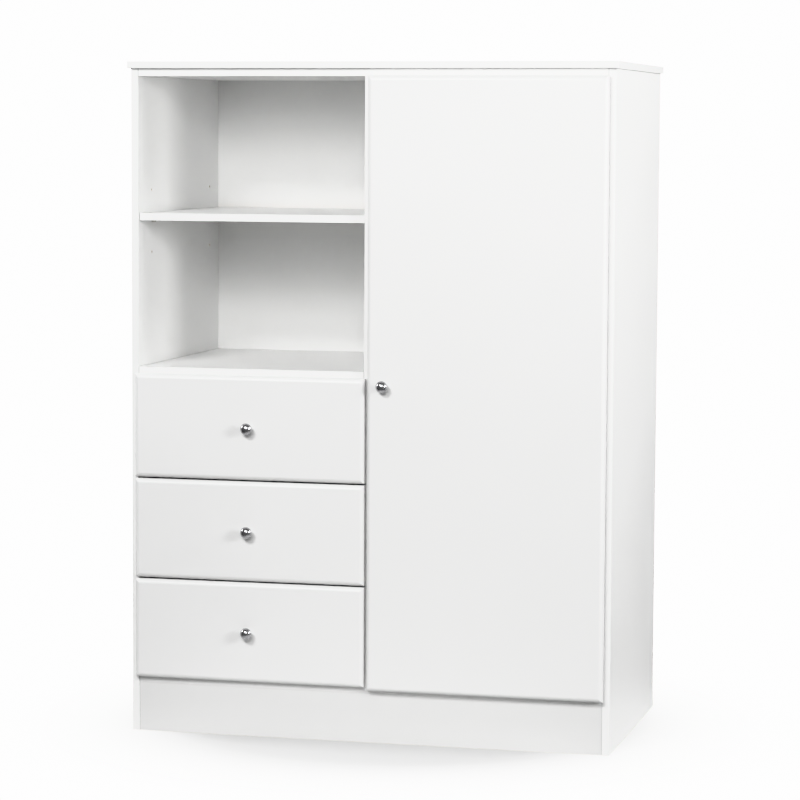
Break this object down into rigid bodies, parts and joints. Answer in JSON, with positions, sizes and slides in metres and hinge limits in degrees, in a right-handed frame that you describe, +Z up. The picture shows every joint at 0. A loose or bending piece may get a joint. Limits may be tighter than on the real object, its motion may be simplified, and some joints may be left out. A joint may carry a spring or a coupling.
{
  "type": "chifforobe",
  "caption": "White board chifforobe: open shelf bay above stacked drawers on one side, a tall hinged door over a hanging space on the other, flat overhanging top, kick board to the floor.",
  "frame": {"origin": "on the floor, at the middle of the overall box in plan", "axes": "+X to the right of someone facing the front, +Y from front to back (the front faces -Y), +Z up"},
  "size_m": [1.012, 0.5886, 1.377],
  "materials": {
    "white_board": "satin white laminate on particle board",
    "thin_board": "white-faced hardboard",
    "dowel_wood": "plain beech",
    "white_plastic": "smooth moulded",
    "chrome": "polished",
    "nickel_steel": "nickel plated",
    "steel": "zinc plated",
    "zinc": "die cast, dull"
  },
  "bodies": {
    "cabinet": {"adjustable_shelf": "white_board", "back_panel": "thin_board", "bottom_panel": "white_board", "cam_bolts": "steel", "cam_discs": "zinc", "center_divider": "white_board", "divider_screws": "steel", "fixed_shelf": "white_board", "front_kick_board": "white_board", "hanging_rod": "chrome", "hinge_arms": "nickel_steel", "hinge_plate_screws": "steel", "hinge_plates": "nickel_steel", "kick_dowels": "dowel_wood", "left_drawer_runners": "white_plastic", "left_side_panel": "white_board", "plinth_block": "white_board", "rear_kick_board": "white_board", "right_drawer_runners": "white_plastic", "right_side_panel": "white_board", "rod_sockets": "white_plastic", "runner_screws": "steel", "shelf_pins": "steel", "sub_top": "white_board", "top_board": "white_board"},
    "door": {"door_panel": "white_board", "door_knob": "chrome", "door_knob_screw": "steel", "hinge_cups": "nickel_steel", "hinge_pins": "steel", "hinge_cup_screws": "steel"},
    "bottom_drawer": {"bottom_drawer_front": "white_board", "bottom_drawer_left_side": "white_board", "bottom_drawer_right_side": "white_board", "bottom_drawer_back": "white_board", "bottom_drawer_bottom": "thin_board", "bottom_drawer_box_screws": "steel", "bottom_drawer_knob": "chrome", "bottom_drawer_knob_screw": "steel"},
    "middle_drawer": {"middle_drawer_front": "white_board", "middle_drawer_left_side": "white_board", "middle_drawer_right_side": "white_board", "middle_drawer_back": "white_board", "middle_drawer_bottom": "thin_board", "middle_drawer_box_screws": "steel", "middle_drawer_knob": "chrome", "middle_drawer_knob_screw": "steel"},
    "top_drawer": {"top_drawer_front": "white_board", "top_drawer_left_side": "white_board", "top_drawer_right_side": "white_board", "top_drawer_back": "white_board", "top_drawer_bottom": "thin_board", "top_drawer_box_screws": "steel", "top_drawer_knob": "chrome", "top_drawer_knob_screw": "steel"}
  },
  "joints": [
    {"name": "door_swing", "type": "hinge", "parent": "cabinet", "child": "door", "pos_m": [0.47932, -0.26276, 0.7285], "axis": [0, 0, 1], "range_deg": [0, 105]},
    {"name": "bottom_drawer_slide", "type": "slide", "parent": "cabinet", "child": "bottom_drawer", "axis": [0, -1, 0], "range_m": [0, 0.34]},
    {"name": "middle_drawer_slide", "type": "slide", "parent": "cabinet", "child": "middle_drawer", "axis": [0, -1, 0], "range_m": [0, 0.34]},
    {"name": "top_drawer_slide", "type": "slide", "parent": "cabinet", "child": "top_drawer", "axis": [0, -1, 0], "range_m": [0, 0.34]}
  ]
}
